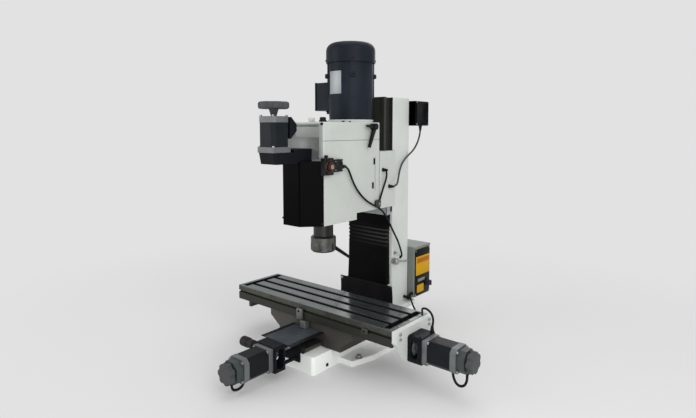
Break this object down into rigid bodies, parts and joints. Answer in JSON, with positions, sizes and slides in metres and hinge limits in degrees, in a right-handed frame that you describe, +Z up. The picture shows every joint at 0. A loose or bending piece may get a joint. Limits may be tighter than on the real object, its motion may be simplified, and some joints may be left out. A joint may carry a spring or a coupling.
{
  "type": "cnc milling machine",
  "caption": "Bench milling machine on a dovetail column, with a slotted table, a quill head and stepper motors that drive the table, the saddle and the quill.",
  "frame": {"origin": "centre of the four floor bolt holes, on the underside of the base", "axes": "+X to the operator's right along the table, +Y back to the column, +Z up"},
  "size_m": [1.1033, 1.1283, 1.27],
  "materials": {
    "white_paint": "satin",
    "table_iron": "machined, lightly oiled",
    "bright_steel": "turned and ground",
    "black_paint": "gloss",
    "motor_black": "satin",
    "motor_alloy": "cast",
    "knob_black": "moulded",
    "bellows_rubber": "moulded",
    "cable_rubber": "sheathed",
    "cabinet_grey": "satin",
    "switch_grey": "moulded",
    "button_amber": "moulded",
    "dial_plum": "moulded"
  },
  "bodies": {
    "frame": {"base_casting": "white_paint", "column_casting": "white_paint", "y_drive_bracket": "black_paint", "y_motor_stator": "motor_black", "y_motor_end_caps": "motor_alloy", "y_round_connector": "knob_black", "control_box": "cabinet_grey", "junction_box": "black_paint", "rear_skirt": "bellows_rubber", "column_bellows": "bellows_rubber", "front_way_apron": "bellows_rubber", "head_drop_cable": "cable_rubber", "junction_cable": "cable_rubber", "x_motor_cable_rear": "cable_rubber", "y_lead_loop": "cable_rubber"},
    "saddle": {"saddle_casting": "table_iron", "gib_strips": "bright_steel", "ball_nuts": "bright_steel", "table_stop_block": "bright_steel"},
    "table": {"work_table": "table_iron", "table_end_plates": "white_paint", "x_drive_housing": "black_paint", "x_motor_stator": "motor_black", "x_motor_end_caps": "motor_alloy", "x_motor_cable_front": "cable_rubber", "x_lead_loop": "cable_rubber"},
    "x_screw": {"x_ball_screw": "bright_steel", "x_coupling": "motor_alloy", "x_handwheel": "knob_black"},
    "y_screw": {"y_ball_screw": "bright_steel", "y_coupling": "motor_alloy", "y_handwheel": "knob_black"},
    "head": {"head_casting": "white_paint", "head_top_cover": "white_paint", "head_slide": "white_paint", "gear_bearing_plate": "bright_steel", "front_cover": "black_paint", "z_drive_bracket": "black_paint", "z_motor_stator": "motor_black", "z_motor_end_caps": "motor_alloy", "motor_end_bell": "motor_black", "motor_stator_body": "motor_black", "motor_fan_cowl": "motor_black", "terminal_box": "motor_black", "switch_box": "switch_grey", "head_loop_cable": "cable_rubber", "head_switch_cable": "cable_rubber"},
    "quill_slide": {"quill": "bright_steel"},
    "spindle_turning": {"spindle": "bright_steel", "collet_nut": "bright_steel"},
    "z_screw": {"z_ball_screw": "bright_steel"},
    "z_shaft": {"z_handwheel": "knob_black"},
    "rotor": {"motor_rotor": "bright_steel"},
    "counter_shaft": {"counter_gear": "bright_steel"},
    "gear_sleeve": {"spindle_gear": "bright_steel"},
    "elevation": {"elevation_screw": "bright_steel"},
    "crank": {"elevation_crank": "knob_black"},
    "lever": {"gear_lever": "knob_black"},
    "button": {"switch_button": "button_amber"},
    "dial": {"control_knob": "dial_plum"}
  },
  "joints": [
    {"name": "y_slide", "type": "slide", "parent": "frame", "child": "saddle", "axis": [0, 1, 0], "range_m": [-0.09, 0.08], "deforming": ["front_way_apron"]},
    {"name": "x_slide", "type": "slide", "parent": "saddle", "child": "table", "axis": [1, 0, 0], "range_m": [-0.19, 0.19], "deforming": ["x_motor_cable_rear", "x_motor_cable_front"]},
    {"name": "x_screw_turn", "type": "hinge", "parent": "table", "child": "x_screw", "pos_m": [0, -0.12, 0.146], "axis": [1, 0, 0], "range_deg": [-6850, 6850]},
    {"name": "y_screw_turn", "type": "hinge", "parent": "frame", "child": "y_screw", "pos_m": [0, -0.12, 0.084], "axis": [0, 1, 0], "range_deg": [-3250, 3250]},
    {"name": "head_travel", "type": "slide", "parent": "frame", "child": "head", "axis": [0, 0, 1], "range_m": [-0.07, 0.2], "deforming": ["column_bellows", "head_drop_cable", "junction_cable"]},
    {"name": "elevation_turn", "type": "hinge", "parent": "frame", "child": "elevation", "pos_m": [0, 0.29, 0.6], "axis": [0, 0, 1], "range_deg": [-2530, 7210]},
    {"name": "crank_turn", "type": "hinge", "parent": "frame", "child": "crank", "pos_m": [-0.1, 0.29, 0.264], "axis": [1, 0, 0], "range_deg": [-2530, 7210]},
    {"name": "quill_travel", "type": "slide", "parent": "head", "child": "quill_slide", "axis": [0, 0, 1], "range_m": [-0.12, 0]},
    {"name": "z_screw_turn", "type": "hinge", "parent": "head", "child": "z_screw", "pos_m": [0, -0.275, 0.7], "axis": [0, 0, 1], "range_deg": [-4330, 10]},
    {"name": "z_motor_turn", "type": "hinge", "parent": "head", "child": "z_shaft", "pos_m": [0, -0.389, 0.9], "axis": [0, 0, 1], "range_deg": [-4330, 10]},
    {"name": "rotor_turn", "type": "hinge", "parent": "head", "child": "rotor", "pos_m": [0, 0.043, 1], "axis": [0, 0, 1], "continuous": true},
    {"name": "counter_turn", "type": "hinge", "parent": "head", "child": "counter_shaft", "pos_m": [0, -0.037, 0.8], "axis": [0, 0, 1], "continuous": true},
    {"name": "sleeve_turn", "type": "hinge", "parent": "head", "child": "gear_sleeve", "pos_m": [0, -0.13, 0.82], "axis": [0, 0, 1], "continuous": true},
    {"name": "spindle_turn", "type": "hinge", "parent": "quill_slide", "child": "spindle_turning", "pos_m": [0, -0.13, 0.6], "axis": [0, 0, 1], "continuous": true},
    {"name": "gear_lever_turn", "type": "hinge", "parent": "head", "child": "lever", "pos_m": [0.12, 0.052, 0.925], "axis": [1, 0, 0], "range_deg": [-25, 25]},
    {"name": "switch_press", "type": "slide", "parent": "head", "child": "button", "axis": [-1, 0, 0], "range_m": [0, 0.005], "stiffness_N_per_m": 600, "springref_m": -0.001},
    {"name": "control_knob_turn", "type": "hinge", "parent": "frame", "child": "dial", "pos_m": [0.12, 0.468, 0.18], "axis": [1, 0, 0], "range_deg": [-135, 135]}
  ],
  "couplings": [
    {"joint": "x_screw_turn", "follows": "x_slide", "rad_per_m": 628.32},
    {"joint": "y_screw_turn", "follows": "y_slide", "rad_per_m": 628.32},
    {"joint": "elevation_turn", "follows": "head_travel", "rad_per_m": 628.32},
    {"joint": "crank_turn", "follows": "head_travel", "rad_per_m": 628.32},
    {"joint": "z_screw_turn", "follows": "quill_travel", "rad_per_m": 628.32},
    {"joint": "z_motor_turn", "follows": "quill_travel", "rad_per_m": 628.32},
    {"joint": "counter_turn", "follows": "rotor_turn", "ratio": -0.42857},
    {"joint": "sleeve_turn", "follows": "rotor_turn", "ratio": 0.21429},
    {"joint": "spindle_turn", "follows": "rotor_turn", "ratio": 0.21429}
  ]
}
